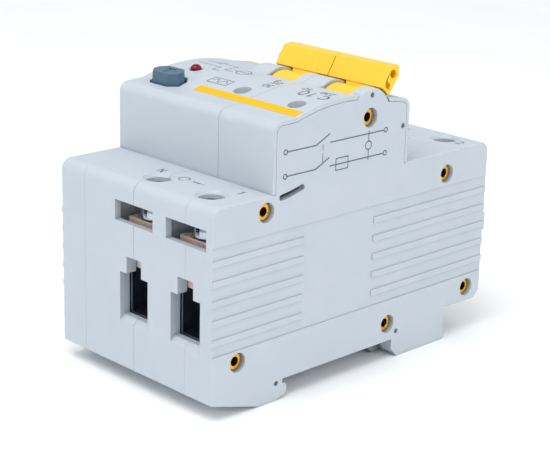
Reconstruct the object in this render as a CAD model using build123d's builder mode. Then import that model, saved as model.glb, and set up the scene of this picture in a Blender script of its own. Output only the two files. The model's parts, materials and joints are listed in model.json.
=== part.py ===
from build123d import *
import os
from math import atan2, cos, degrees, hypot, radians, sin

# Residual-current circuit breaker with overcurrent release, for a 35 mm rail.
# Frame: X across the device, along the rail; -Y is the line end, +Y the load end;
# +Z is the front, where the handle is. The origin is the middle of the rail seat.

# ---------------------------------------------------------------- driving dimensions (mm)
MODULE = 18.0               # one rail module
HALF_W = 1.5 * MODULE       # three modules wide
NEAR_Y = -39.75             # line end face
FAR_Y = 53.5                # load end face
SHOULDER_Z = 45.0           # terminal shoulders
CAP_Y = 22.3                # half of the 45 mm front opening
WALL = 1.8                  # housing walls
WEB = 0.75                  # half thickness of the walls between the cavities
EDGE_R = 2.5                # rounded front edges
FOOT_Z = -5.0               # underside of both feet
FLOOR_Z = 2.0               # inner floor over the rail seat
FAR_FLOOR_Z = 5.4           # inner floor of the load end
ROOF_Z = 59.4               # inner roof of the front cap
COVER_INSET = 1.0           # rim of the cap around each side cover
COVER_GAP = 0.1             # reveal between the rim and the cover
SEAM = 0.05                 # half of the joint line between two mouldings

# Poles: the neutral pole is on the middle module, the line pole on the right one.
POLE_N = 0.0
POLE_L = MODULE
POLES = {"n": POLE_N, "l": POLE_L}

# Handle: both poles turn on a tubular rivet through the humps.
AXIS_Y, AXIS_Z = 8.75, 57.9
HUMP_R = 6.95
HUMP_BLEND_R = 2.5
DRUM_R = 6.3
SLOT_R = 7.9
DRUM_SHIFT = 1.6            # the drum is off the pole's middle
DRUM_W = 8.6
SLOT_W = 9.2
PADDLE_R = 7.4              # inner edge of the paddle, clear of the humps
PADDLE_W = 17.8
HANDLE_TRAVEL = 65.0        # degrees from off to on
CRANK_R = 8.2
TIE_HOLE = (7.42, 9.27)     # tie-pin hole, from the handle axis

# Contact lever below the handle.
LEVER_Y, LEVER_Z = 8.75, 34.0
LEVER_TRAVEL = 29.0
LEVER_PIN_R = 10.0
ARM_LENGTH = 14.5
CONTACT_R = 12.5
LINK_PIN_R = 0.9

# Fasteners and fits.
RIVET_R = 1.5
RIVET_HOLE_R = 1.6
RIVETS = [(-24.0, 41.3), (-31.9, 7.8), (AXIS_Y, AXIS_Z), (37.7, 39.3), (48.0, 7.2), (18.1, 4.5)]
COUNTERBORE_R = 2.35
COUNTERBORE_DEPTH = 1.5
PIN_HOLES = [(9.1, 63.2), (20.3, 54.2), (-19.7, -0.7), (21.5, 1.8)]
RUNNING_FIT = 0.05

# Ribbed panel sunk in each side.
PANEL_Z = (10.7, 36.2)
PANEL_DEPTH = 0.25
RIB_Z = (13.3, 17.9, 22.5, 27.1, 31.7)
RIB_H = 1.5
RIB_ENDS = (-11.8, 11.6)    # the ribs leave the middle of the panel plain
SIDE_R = 0.4                # rounded edges of the sides
RIM_R = 0.6                 # rounded edges of the cap's rim
SETTING_SLOT = ((-19.4, 43.9), (-16.2, 44.4), (-13.0, 45.2))    # middle line, (y, z) on the right side
SETTING_SLOT_W = 1.5
FAR_STEP_Z = (21.5, 26.0)   # low step across the load end face
FAR_STEP_H = 0.7
PANEL_BOSS_R = 3.4          # bosses around the rivets inside the side covers
PIN_HOLE_R = 0.65

# Terminals: screw axis, and the direction that points out of the housing.
TERMINALS = {"near": (-32.25, -1), "far": (47.0, 1)}
SCREW_HOLE_R = 3.0
BUSBAR_Z = (34.8, 39.75)
ENTRY_Z = (11.9, 22.7)
ENTRY_SLOT_TOP = 26.9
COLLAR = 2.9                # depth of the line end's wire entries
BAR_Z = (34.0, 35.4)
TONGUE_Z = (23.6, 26.1)
TONGUE_HALF = 3.4
CLAMP_Z = (10.8, 28.6)
HEAD_R = 4.2                # slotted pan head of the clamp screw
HEAD_Z = (35.7, 38.75)
HEAD_ROUND = 1.6
SLOT_DEPTH = 1.5
SHANK_R = 2.5
SHANK_FOOT = TONGUE_Z[1] + 0.3

# Test button and lamp on the electronics module.
BUTTON_X, BUTTON_Y = -18.0, -14.2
BUTTON_W, BUTTON_D, BUTTON_CUT = 9.6, 6.0, 1.9
BUTTON_FOOT = 58.0
BUTTON_TOP = (64.2, 64.9)   # near and far edge of the sloping top
BUTTON_TAPER = 3.0          # degrees of draft
LAMP_X, LAMP_Y = -18.2, -5.3
WELL_SHIFT, WELL_Y, WELL_R = 3.5, -10.0, 2.15

# Trip bar across all three cavities.
BAR_Y, TRIP_Z, TRIP_R = -0.5, 47.0, 1.5

# Current transformer in the electronics cavity.
TOROID_Y, TOROID_Z = 30.0, 24.0
TOROID_X = (-21.0, -12.0)
WIRE_R = 1.2
WIRE_Y = {"n": 28.0, "l": 32.0}
RETURN_Z = 40.4

# Rail clips, one under each pole, in the rear foot.
CLIP_HALF = 3.7
CLIP_FLANGE = 5.2

os.makedirs("parts", exist_ok=True)


def save(piece, name):
    """Label a finished piece and write it as one node."""
    piece.part.label = name
    export_step(piece.part, f"parts/{name}.step")


# ---------------------------------------------------------------- helpers inside a part block
def block(x, y, z, mode=Mode.ADD):
    """A box from its ranges along X, Y and Z."""
    with Locations(((x[0] + x[1]) / 2, (y[0] + y[1]) / 2, (z[0] + z[1]) / 2)):
        Box(x[1] - x[0], y[1] - y[0], z[1] - z[0], mode=mode)


def side_prism(points, x, mode=Mode.ADD):
    """A prism along X over a closed outline of (y, z) points."""
    with BuildSketch(Plane.YZ.offset(x[0])) as profile:
        with BuildLine():
            Polyline(*points, close=True)
        make_face()
    extrude(profile.sketch, amount=x[1] - x[0], mode=mode)


def rod_x(y, z, radius, x, mode=Mode.ADD):
    """A round bar along X."""
    with BuildSketch(Plane.YZ.offset(x[0])) as profile:
        with Locations((y, z)):
            Circle(radius)
    extrude(profile.sketch, amount=x[1] - x[0], mode=mode)


def rod_y(x, z, radius, y, mode=Mode.ADD):
    """A round bar along Y."""
    with BuildSketch(Plane.XZ.offset(-y[1])) as profile:
        with Locations((x, z)):
            Circle(radius)
    extrude(profile.sketch, amount=y[1] - y[0], mode=mode)


def rod_z(x, y, radius, z, mode=Mode.ADD):
    """A round bar along Z."""
    with BuildSketch(Plane.XY.offset(z[0])) as profile:
        with Locations((x, y)):
            Circle(radius)
    extrude(profile.sketch, amount=z[1] - z[0], mode=mode)


def turned(y, z, angle):
    """An outline's (y, z) offset turned about X."""
    a = radians(angle)
    return (y * cos(a) - z * sin(a), y * sin(a) + z * cos(a))


def lever_plane(x, angle):
    """The sketch plane of a contact lever turned to an angle, at one X."""
    a = radians(angle)
    return Plane(origin=(x, LEVER_Y, LEVER_Z), x_dir=(0, cos(a), sin(a)), z_dir=(1, 0, 0))


def handle_plane(x):
    """The sketch plane through the handle axis, at one X."""
    return Plane.YZ.offset(x).shift_origin((x, AXIS_Y, AXIS_Z))


def spring(name, start, direction, radius, wire, length, turns):
    """A round-wire helical spring."""
    with BuildPart() as coil:
        with BuildLine() as path:
            Helix(pitch=length / turns, height=length, radius=radius, center=start, direction=direction)
        with BuildSketch(Plane(origin=path.line @ 0, z_dir=path.line % 0)):
            Circle(wire / 2)
        sweep(path=path.line, is_frenet=True)
    save(coil, name)


# ---------------------------------------------------------------- housing
HOOK_NOSE = (-16.3, -3.6)   # the fixed hook under the rail's near lip
LOWER_OUTLINE = [
    (NEAR_Y, -0.64), (-24.5, FOOT_Z), (-19.8, FOOT_Z), HOOK_NOSE, (-16.3, -1.2),
    (-17.7, -1.2), (-17.7, 0), (19.95, 0), (19.95, -2.6), (22.2, FOOT_Z), (39.6, FOOT_Z),
    (39.6, 3.4), (FAR_Y - 2.0, 3.4), (FAR_Y, 5.4), (FAR_Y, SHOULDER_Z), (NEAR_Y, SHOULDER_Z),
]
INNER_OUTLINE = [
    (NEAR_Y + WALL, FLOOR_Z), (NEAR_Y + WALL, SHOULDER_Z - WALL), (-CAP_Y + WALL, SHOULDER_Z - WALL),
    (-CAP_Y + WALL, ROOF_Z), (CAP_Y - WALL, ROOF_Z), (CAP_Y - WALL, SHOULDER_Z - WALL),
    (FAR_Y - WALL, SHOULDER_Z - WALL), (FAR_Y - WALL, FAR_FLOOR_Z), (37.8, FAR_FLOOR_Z), (37.8, FLOOR_Z),
]
CAP_NEAR, CAP_FAR = (-CAP_Y, 61.2), (CAP_Y, 60.6)               # front edges of the cap, unrounded
CROWN = ((-15.2, 61.5), (0.0, 63.85), (14.5, 61.9))             # arc over its middle


def lower_body(x):
    """The outer block of the lower housing, with rounded shoulder edges and feet."""
    with BuildSketch(Plane.YZ.offset(x[0])) as outline:
        with BuildLine():
            Polyline(*LOWER_OUTLINE, close=True)
        make_face()
        fillet(outline.vertices().filter_by(lambda v: v.Y > SHOULDER_Z - 1), EDGE_R)
        fillet(outline.vertices().filter_by(lambda v: abs(v.X - HOOK_NOSE[0]) < 0.1), 0.9)
    extrude(outline.sketch, amount=x[1] - x[0])


def cap_sketch(x, base, inset=0.0, hump=0.0, blend=0.0):
    """The crowned outline of the cap, shrunk by an inset, with the hump's disc and its blend if asked."""
    with BuildSketch(Plane.YZ.offset(x)) as outline:
        with BuildLine():
            Polyline(CROWN[0], CAP_NEAR, (-CAP_Y, base), (CAP_Y, base), CAP_FAR, CROWN[2])
            ThreePointArc(*CROWN)
        make_face()
        fillet(outline.vertices().filter_by(lambda v: v.Y > ROOF_Z and abs(v.X) > CAP_Y - 1), EDGE_R)
        if inset:
            offset(amount=-inset)
        if hump:
            with Locations((AXIS_Y, AXIS_Z)):
                Circle(hump)
        if blend:
            foot = outline.vertices().filter_by(lambda v: v.Y > ROOF_Z + 1 and -hump < v.X - AXIS_Y < -3.0)
            fillet(foot, blend)
    return outline.sketch


def cap_body(x):
    """The raised cap over its X range."""
    extrude(cap_sketch(x[0], SHOULDER_Z), amount=x[1] - x[0])


def hump(x):
    """The hump over the handle's bearing, which runs out into the crown in front."""
    extrude(cap_sketch(x[0], SHOULDER_Z, hump=HUMP_R, blend=HUMP_BLEND_R), amount=x[1] - x[0])


def side_plate(x, hump=0.0):
    """The part of a side cover that fills the cap's side, inside the rim."""
    extrude(cap_sketch(x[0], SHOULDER_Z - 6, COVER_INSET, hump), amount=x[1] - x[0])


def plate_pocket(x, hump=0.0):
    """The pocket in the cap for the side cover."""
    outline = cap_sketch(x[0], SHOULDER_Z - 6, COVER_INSET - COVER_GAP, hump)
    extrude(outline, amount=x[1] - x[0], mode=Mode.SUBTRACT)


def hollow(x):
    """One inner cavity."""
    side_prism(INNER_OUTLINE, x, Mode.SUBTRACT)


def rivet_holes(x):
    """Through holes for the six tubular rivets."""
    for y, z in RIVETS:
        rod_x(y, z, RIVET_HOLE_R, x, Mode.SUBTRACT)


def terminal_cutouts(pole):
    """Busbar window, wire entry and screwdriver hole at both ends of one pole."""
    for screw_y, out in TERMINALS.values():
        face = NEAR_Y if out < 0 else FAR_Y
        through = sorted((face + out, face - out * (COLLAR + 0.2)))
        block((pole - 6.75, pole + 6.75), through, BUSBAR_Z, Mode.SUBTRACT)
        block((pole - 5.0, pole + 5.0), through, ENTRY_Z, Mode.SUBTRACT)
        block((pole - 2.65, pole + 2.65), through, (ENTRY_Z[1], ENTRY_SLOT_TOP), Mode.SUBTRACT)
        lip = [(face, ENTRY_Z[0] - 1.2), (face, ENTRY_Z[0]), (face - out * 1.2, ENTRY_Z[0])]
        side_prism(lip, (pole - 5.0, pole + 5.0), Mode.SUBTRACT)
        rod_z(pole, screw_y, SCREW_HOLE_R, (SHOULDER_Z - WALL - 0.2, SHOULDER_Z + 0.2), Mode.SUBTRACT)
        with Locations((pole, screw_y, SHOULDER_Z - 0.4)):
            Cone(SCREW_HOLE_R, SCREW_HOLE_R + 0.8, 0.8, mode=Mode.SUBTRACT)


def clip_channel(pole):
    """The grooved channel of a rail clip through the rear foot."""
    run = (19.0, 40.6)
    block((pole - 4.0, pole + 4.0), run, (FOOT_Z - 0.5, -1.5), Mode.SUBTRACT)
    block((pole - 5.5, pole + 5.5), run, (-3.2, -1.5), Mode.SUBTRACT)


def handle_slot(pole):
    """The slot that lets a drum and the neck of its paddle turn."""
    middle = pole + DRUM_SHIFT
    rod_x(AXIS_Y, AXIS_Z, SLOT_R, (middle - SLOT_W / 2, middle + SLOT_W / 2), Mode.SUBTRACT)


def well(pole):
    """The round well on the front of a pole."""
    rod_z(pole + WELL_SHIFT, WELL_Y, WELL_R, (ROOF_Z + 0.8, 65.0), Mode.SUBTRACT)


def entry_collars(x):
    """Thicker wall around the wire entries of the line end, close in front of the clamps."""
    block(x, (NEAR_Y + WALL - 0.1, NEAR_Y + COLLAR), (ENTRY_Z[0] - 3.0, BUSBAR_Z[0] - 1.2))


def partitions(x):
    """Walls between the terminal chambers and the mechanism, below the bars."""
    block(x, (-22.6, -21.4), (FLOOR_Z - 0.1, 26.5))
    block(x, (36.5, 37.7), (FLOOR_Z - 0.1, 22.0))


def far_rib(x):
    """The low step across the load end face."""
    block(x, (FAR_Y - 0.1, FAR_Y + FAR_STEP_H), FAR_STEP_Z)


def round_side(x, above, radius):
    """Round the outline of an outer side face, above a height."""
    edges = faces().filter_by(Plane.YZ).group_by(lambda f: abs(f.center().X - x))[0].edges()
    fillet(edges.filter_by(lambda e: e.center().Z > above), radius)


def cover_details(x_out, x_in, sunk):
    """Ribbed panel, rivet counterbores and blind pin holes on a side cover; sunk points inwards."""
    def span(depth):
        return tuple(sorted((x_out - sunk * 0.1, x_out + sunk * depth)))

    block(span(PANEL_DEPTH), (NEAR_Y - 0.1, FAR_Y + 1.0), PANEL_Z, Mode.SUBTRACT)
    rib_x = tuple(sorted((x_out, x_out + sunk * (PANEL_DEPTH + 0.1))))
    for z in RIB_Z:
        for y in ((NEAR_Y, RIB_ENDS[0]), (RIB_ENDS[1], FAR_Y)):
            block(rib_x, y, (z, z + RIB_H))
    for y, z in RIVETS:
        if z < SHOULDER_Z:
            rod_x(y, z, PANEL_BOSS_R, tuple(sorted((x_in, x_in + sunk * 1.0))))
    rivet_holes(tuple(sorted((x_out, x_in + sunk * 1.5))))
    for y, z in RIVETS:
        rod_x(y, z, COUNTERBORE_R, span(COUNTERBORE_DEPTH), Mode.SUBTRACT)
    for y, z in PIN_HOLES:
        rod_x(y, z, PIN_HOLE_R, span(1.0), Mode.SUBTRACT)


def pivot_hole(y, z, radius, x):
    """A bearing hole along X."""
    rod_x(y, z, radius, x, Mode.SUBTRACT)


IN_LEFT = -HALF_W + WALL
IN_RIGHT = HALF_W - WALL
WEB_N = -MODULE / 2
WEB_L = MODULE / 2
CAP_SEAM = MODULE / 2       # joint line between the two shells on the cap
LEFT_CAVITY = (IN_LEFT, WEB_N - WEB)
N_CAVITY = (WEB_N + WEB, WEB_L - WEB)
L_CAVITY = (WEB_L + WEB, IN_RIGHT)
SLOT_N = (POLE_N + DRUM_SHIFT - SLOT_W / 2, POLE_N + DRUM_SHIFT + SLOT_W / 2)
SLOT_L = (POLE_L + DRUM_SHIFT - SLOT_W / 2, POLE_L + DRUM_SHIFT + SLOT_W / 2)


def make_left_cover():
    with BuildPart() as cover:
        lower_body((-HALF_W, -MODULE - SEAM))
        round_side(-HALF_W, 0.0, SIDE_R)
        far_rib((-HALF_W, -MODULE - SEAM))
        hollow(LEFT_CAVITY)
        side_plate((-HALF_W, IN_LEFT))
        cover_details(-HALF_W, IN_LEFT, 1)
    save(cover, "left_cover")


def make_left_shell():
    with BuildPart() as shell:
        lower_body((-MODULE, -SEAM))
        far_rib((-MODULE, -SEAM))
        cap_body((-HALF_W, CAP_SEAM - SEAM))
        round_side(-HALF_W, SHOULDER_Z + 0.1, RIM_R)
        for x in ((WEB_N, SLOT_N[0]), (SLOT_N[1], CAP_SEAM - SEAM)):
            hump(x)
        hollow(LEFT_CAVITY)
        hollow(N_CAVITY)
        for x in ((WEB_N, SLOT_N[0]), (SLOT_N[1], CAP_SEAM - SEAM)):
            rod_x(AXIS_Y, AXIS_Z, HUMP_R, x)
        partitions((WEB_N, -SEAM))
        entry_collars((WEB_N, -SEAM))
        plate_pocket((-HALF_W - 0.1, IN_LEFT))
        handle_slot(POLE_N)
        well(POLE_N)
        terminal_cutouts(POLE_N)
        clip_channel(POLE_N)
        # shelf that guides the stem of the test button
        block(LEFT_CAVITY, (-CAP_Y + WALL, -8.0), (48.8, 50.0))
        rod_z(BUTTON_X, BUTTON_Y, 2.4, (48.0, 51.0), Mode.SUBTRACT)
        # openings on the front for the button and the lamp
        with BuildSketch(Plane.XY.offset(ROOF_Z - 1.0)):
            button_outline(0.3)
        extrude(amount=8.0, mode=Mode.SUBTRACT)
        rod_z(LAMP_X, LAMP_Y, 1.6, (ROOF_Z - 1.0, 66.0), Mode.SUBTRACT)
        # windows in the wall to the electronics for the primary wires
        rod_x(TOROID_Y, TOROID_Z, 4.5, (WEB_N - 1.0, WEB_N + 1.0), Mode.SUBTRACT)
        with BuildSketch(Plane.YZ.offset(WEB_N - 1.0)):
            with Locations((TOROID_Y, RETURN_Z)):
                SlotOverall(7.6, 3.4)
        extrude(amount=2.0, mode=Mode.SUBTRACT)
        pivot_hole(LEVER_Y, LEVER_Z, 1.3, (WEB_N - 0.1, WEB_N + 1.0))
        pivot_hole(BAR_Y, TRIP_Z, TRIP_R + RUNNING_FIT, (WEB_N - 1.0, WEB_L + 0.1))
        rivet_holes((-HALF_W, WEB_L))
    save(shell, "left_shell")


def make_right_shell():
    with BuildPart() as shell:
        lower_body((SEAM, MODULE - SEAM))
        far_rib((SEAM, MODULE - SEAM))
        cap_body((CAP_SEAM + SEAM, HALF_W))
        round_side(HALF_W, SHOULDER_Z + 0.1, RIM_R)
        for x in ((CAP_SEAM + SEAM, SLOT_L[0]), (SLOT_L[1], HALF_W)):
            hump(x)
        hollow(N_CAVITY)
        hollow(L_CAVITY)
        for x in ((CAP_SEAM + SEAM, SLOT_L[0]), (SLOT_L[1], IN_RIGHT)):
            rod_x(AXIS_Y, AXIS_Z, HUMP_R, x)
        partitions((SEAM, MODULE - SEAM))
        entry_collars((SEAM, MODULE - SEAM))
        plate_pocket((IN_RIGHT, HALF_W + 0.1), HUMP_R + COVER_GAP)
        handle_slot(POLE_L)
        well(POLE_L)
        for pole in POLES.values():
            terminal_cutouts(pole)
            clip_channel(pole)
        for z in (TOROID_Z, RETURN_Z):
            rod_x(WIRE_Y["l"], z, 1.7, (WEB_L - 1.0, WEB_L + 1.0), Mode.SUBTRACT)
        pivot_hole(LEVER_Y, LEVER_Z, 1.3, (WEB_L - 1.0, WEB_L + 1.0))
        pivot_hole(BAR_Y, TRIP_Z, TRIP_R + RUNNING_FIT, (WEB_L - 1.0, WEB_L + 1.0))
        rivet_holes((0, HALF_W))
    save(shell, "right_shell")


def make_right_cover():
    with BuildPart() as cover:
        lower_body((MODULE, HALF_W))
        round_side(HALF_W, 0.0, SIDE_R)
        far_rib((MODULE, HALF_W))
        hollow(L_CAVITY)
        partitions((MODULE, IN_RIGHT))
        entry_collars((MODULE, IN_RIGHT))
        side_plate((IN_RIGHT, HALF_W), HUMP_R)
        hump_edge = edges().filter_by(GeomType.CIRCLE).filter_by(lambda e: abs(e.radius - HUMP_R) < 0.01)
        fillet(hump_edge.sort_by(Axis.X)[-1], RIM_R)
        terminal_cutouts(POLE_L)
        clip_channel(POLE_L)
        cover_details(HALF_W, IN_RIGHT, -1)
        # curved setting slot through the cover
        with BuildSketch(Plane.YZ.offset(IN_RIGHT - 0.5)):
            with BuildLine():
                ThreePointArc(*SETTING_SLOT)
            trace(line_width=SETTING_SLOT_W)
            with Locations(SETTING_SLOT[0], SETTING_SLOT[-1]):
                Circle(SETTING_SLOT_W / 2)
        extrude(amount=WALL + 1.0, mode=Mode.SUBTRACT)
        pivot_hole(LEVER_Y, LEVER_Z, 1.3, (IN_RIGHT - 0.1, IN_RIGHT + 0.8))
    save(cover, "right_cover")


def make_rivets():
    """Six brass tubular rivets with rolled heads; the one at the humps is the handle's axle."""
    head_x = HALF_W - COUNTERBORE_DEPTH
    with BuildPart() as rivets:
        for y, z in RIVETS:
            rod_x(y, z, RIVET_R, (-head_x - 0.5, head_x + 0.5))
            for x in ((-head_x - 0.5, -head_x), (head_x, head_x + 0.5)):
                rod_x(y, z, 2.05, x)
            for x in ((-head_x - 0.6, -head_x + 6.0), (head_x - 6.0, head_x + 0.6)):
                rod_x(y, z, 1.05, x, Mode.SUBTRACT)
    save(rivets, "tube_rivets")


# ---------------------------------------------------------------- handle and linkage
def button_outline(grow):
    """The octagon of the test button, on its axis."""
    with Locations((BUTTON_X, BUTTON_Y)):
        half_w, half_d, cut = BUTTON_W / 2 + grow, BUTTON_D / 2 + grow, BUTTON_CUT
        Polygon(
            (half_w - cut, -half_d), (half_w, cut - half_d), (half_w, half_d - cut), (half_w - cut, half_d),
            (cut - half_w, half_d), (-half_w, half_d - cut), (-half_w, cut - half_d), (cut - half_w, -half_d),
            align=None,
        )


PADDLE_FRONT = (6.64, 10.95)
PADDLE_TOP = (9.40, 11.25)
PADDLE_BACK = (9.48, 8.69)
PADDLE_TIP_ANGLE = 35.3     # from +Y, where the back meets the inner edge
PADDLE_ROOT_ANGLE = 59.6    # from +Y, where the front meets the inner edge


def polar(radius, angle):
    return (radius * cos(radians(angle)), radius * sin(radians(angle)))


def make_handle(name, pole):
    """One pole's drum, neck and paddle, moulded in one, in the off position."""
    middle = pole + DRUM_SHIFT
    left = middle - DRUM_W / 2
    with BuildPart() as handle:
        with BuildSketch(handle_plane(pole - PADDLE_W / 2)):
            with BuildLine():
                inner = ThreePointArc(
                    polar(PADDLE_R, PADDLE_TIP_ANGLE), polar(PADDLE_R, 47), polar(PADDLE_R, PADDLE_ROOT_ANGLE)
                )
                Polyline(inner @ 1, PADDLE_FRONT, PADDLE_TOP, PADDLE_BACK, inner @ 0)
            make_face()
        extrude(amount=PADDLE_W)
        with BuildSketch(handle_plane(left)):
            Circle(DRUM_R)
            Polygon(
                (0, 0), polar(PADDLE_R + 0.6, PADDLE_TIP_ANGLE + 1), polar(PADDLE_R + 0.6, PADDLE_ROOT_ANGLE - 1),
                align=None,
            )
        extrude(amount=DRUM_W)
        # crank that carries the upper end of the link
        pin = polar(CRANK_R, -90 - HANDLE_TRAVEL / 2)
        with BuildSketch(handle_plane(middle - 1.5)):
            with Locations(pin):
                Circle(1.8)
            Polygon(polar(2.5, -33), polar(2.5, 147), pin, align=None)
            with Locations((pin[0] / 2, pin[1] / 2)):
                Rectangle(3.2, CRANK_R, rotation=-HANDLE_TRAVEL / 2)
        extrude(amount=3.0)
        # bearing bore, link pin hole, tie-pin bore and the spring's pocket
        rod_x(AXIS_Y, AXIS_Z, RIVET_R + RUNNING_FIT, (left - 1, left + DRUM_W + 1), Mode.SUBTRACT)
        link_x = (middle - 2.0, middle + 2.0)
        rod_x(AXIS_Y + pin[0], AXIS_Z + pin[1], LINK_PIN_R + RUNNING_FIT, link_x, Mode.SUBTRACT)
        ends = (pole - PADDLE_W / 2, pole + PADDLE_W / 2)
        for x in ((ends[0] - 0.1, ends[0] + 5.0), (ends[1] - 5.0, ends[1] + 0.1)):
            rod_x(AXIS_Y + TIE_HOLE[0], AXIS_Z + TIE_HOLE[1], 1.0, x, Mode.SUBTRACT)
        with BuildSketch(handle_plane(left - 0.1)):
            Circle(4.6)
            Circle(2.6, mode=Mode.SUBTRACT)
        extrude(amount=3.1, mode=Mode.SUBTRACT)
        # moulding pocket in each end face of the paddle, below the tie-pin hole
        for x in (ends[0] - 0.1, ends[1] - 1.4):
            with BuildSketch(handle_plane(x)):
                Polygon(polar(8.2, 53), (5.25, 8.0), (6.6, 6.9), polar(8.3, 42), align=None)
            extrude(amount=1.5, mode=Mode.SUBTRACT)
    save(handle, name)


def make_tie_pin():
    with BuildPart() as pin:
        rod_x(AXIS_Y + TIE_HOLE[0], AXIS_Z + TIE_HOLE[1], 1.0 - RUNNING_FIT, (WEB_L - 4.6, WEB_L + 4.6))
    save(pin, "handle_tie_pin")


CRANK_PIN = polar(CRANK_R, -90 - HANDLE_TRAVEL / 2)
LINK_TOP = (AXIS_Y + CRANK_PIN[0], AXIS_Z + CRANK_PIN[1])
LEVER_PIN = turned(0, LEVER_PIN_R, LEVER_TRAVEL / 2)
LINK_FOOT = (LEVER_Y + LEVER_PIN[0], LEVER_Z + LEVER_PIN[1])


def make_link(name, pole):
    """The flat link with a pin at each end, beside the crank and the lever."""
    middle = pole + DRUM_SHIFT
    side = (middle + 1.9, middle + 3.4)
    span = (LINK_FOOT[0] - LINK_TOP[0], LINK_FOOT[1] - LINK_TOP[1])
    with BuildPart() as link:
        with BuildSketch(Plane.YZ.offset(side[0])):
            for end in (LINK_TOP, LINK_FOOT):
                with Locations(end):
                    Circle(1.2)
            with Locations(((LINK_TOP[0] + LINK_FOOT[0]) / 2, (LINK_TOP[1] + LINK_FOOT[1]) / 2)):
                Rectangle(hypot(*span), 2.4, rotation=degrees(atan2(span[1], span[0])))
        extrude(amount=side[1] - side[0])
        for end in (LINK_TOP, LINK_FOOT):
            rod_x(end[0], end[1], LINK_PIN_R, (middle - 1.5, side[0] + 0.5))
    save(link, name)


def make_carrier(name, pole):
    """The plastic contact lever: hub, slotted upper arm and clamp for the contact arm."""
    middle = pole + DRUM_SHIFT
    rest = LEVER_TRAVEL / 2
    hub_x = (pole - 2.5, middle + 1.5)
    with BuildPart() as carrier:
        with BuildSketch(lever_plane(hub_x[0], rest)):
            Circle(3.2)
        extrude(amount=hub_x[1] - hub_x[0])
        with BuildSketch(lever_plane(middle - 1.5, rest)):
            with Locations((0, 6.3)):
                Rectangle(5.6, 12.6)
            with Locations((0, 9.2)):
                SlotOverall(4.9, 2.8, rotation=90, mode=Mode.SUBTRACT)
        extrude(amount=3.0)
        with BuildSketch(lever_plane(pole - 2.5, rest + LEVER_TRAVEL / 2)):
            with Locations((0, -3.5)):
                Rectangle(4.4, 7.0)
        extrude(amount=5.0)
        rod_x(LEVER_Y, LEVER_Z, 1.25 + RUNNING_FIT, (pole - 3.0, middle + 2.0), Mode.SUBTRACT)
    save(carrier, name)


def make_contact_arm(name, pole):
    """Copper arm below the carrier, with its silver tip facing the fixed contact."""
    plane = lever_plane(pole - 2.0, LEVER_TRAVEL)
    tip = lever_plane(pole, LEVER_TRAVEL)
    with BuildPart() as arm:
        with BuildSketch(plane):
            with Locations((0, -(7.0 + ARM_LENGTH) / 2)):
                Rectangle(2.0, ARM_LENGTH - 7.0)
        extrude(amount=4.0)
        centre = tip.from_local_coords((-1.8, -CONTACT_R, 0))
        with BuildSketch(Plane(origin=centre, x_dir=(1, 0, 0), z_dir=tip.x_dir)):
            Circle(1.5)
        extrude(amount=0.9)
    save(arm, name)


def make_lever_axle():
    with BuildPart() as axle:
        rod_x(LEVER_Y, LEVER_Z, 1.25, (WEB_N + 0.1, IN_RIGHT + 0.7))
    save(axle, "lever_axle")


# ---------------------------------------------------------------- terminals
def make_terminal(pole_name, end):
    """Clamp screw, rising clamp and copper bar of one terminal."""
    pole = POLES[pole_name]
    screw_y, out = TERMINALS[end]
    name = f"{end}_{pole_name}"
    slot_z = (HEAD_Z[1] - SLOT_DEPTH, HEAD_Z[1] + 0.1)
    with BuildPart() as screw:
        rod_z(pole, screw_y, HEAD_R, HEAD_Z)
        fillet(edges().sort_by(Axis.Z)[-1], HEAD_ROUND)
        rod_z(pole, screw_y, SHANK_R, (SHANK_FOOT, HEAD_Z[0] + 0.1))
        block((pole - 0.6, pole + 0.6), (screw_y - HEAD_R, screw_y + HEAD_R), slot_z, Mode.SUBTRACT)
        block((pole - 2.2, pole + 2.2), (screw_y - 0.5, screw_y + 0.5), slot_z, Mode.SUBTRACT)
    save(screw, f"screw_{name}")

    with BuildPart() as clamp:
        block((pole - 5.8, pole + 5.8), (screw_y - 4.3, screw_y + 4.3), CLAMP_Z)
        block((pole - 4.6, pole + 4.6), (screw_y - 5, screw_y + 5), (CLAMP_Z[0] + 1.4, 26.4), Mode.SUBTRACT)
        rod_z(pole, screw_y, SHANK_R + RUNNING_FIT, (26.0, 29.0), Mode.SUBTRACT)
    save(clamp, f"clamp_{name}")

    outer, inner = screw_y + out * 4.4, screw_y - out * 7.5
    plate_y = tuple(sorted((outer, inner)))
    upright_y = tuple(sorted((inner, inner + out * 1.4)))
    with BuildPart() as bar:
        block((pole - 5.5, pole + 5.5), plate_y, BAR_Z)
        block((pole - 4.0, pole + 4.0), upright_y, (TONGUE_Z[0], BAR_Z[1]))
        block((pole - TONGUE_HALF, pole + TONGUE_HALF), plate_y, TONGUE_Z)
        rod_z(pole, screw_y, 2.9, (33.0, 36.0), Mode.SUBTRACT)
    save(bar, f"bar_{name}")


# ---------------------------------------------------------------- current path
NEAR_BAR_Y = TERMINALS["near"][0] + 7.5
FAR_BAR_Y = TERMINALS["far"][0] - 7.5


def fixed_leg(pole):
    """The leg that carries the fixed contact, and its silver button."""
    block((pole - 3.0, pole + 3.0), (4.4, 5.6), (19.8, 28.2))
    rod_y(pole, LEVER_Z - CONTACT_R, 1.5, (5.6, 6.65))


def make_fixed_contacts():
    with BuildPart() as neutral:
        block((-3.0, 3.0), (NEAR_BAR_Y, NEAR_BAR_Y + 1.2), (27.0, 33.0))
        block((-3.0, 3.0), (NEAR_BAR_Y, 5.6), (27.0, 28.2))
        fixed_leg(POLE_N)
    save(neutral, "fixed_contact_n")

    with BuildPart() as line:
        block((POLE_L - 3.0, POLE_L + 5.2), (-1.5, 5.6), (27.0, 28.2))
        fixed_leg(POLE_L)
        block((POLE_L - 4.0, POLE_L + 4.0), (-18.0, 5.6), (19.0, 19.8))
    save(line, "fixed_contact_l")


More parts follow.
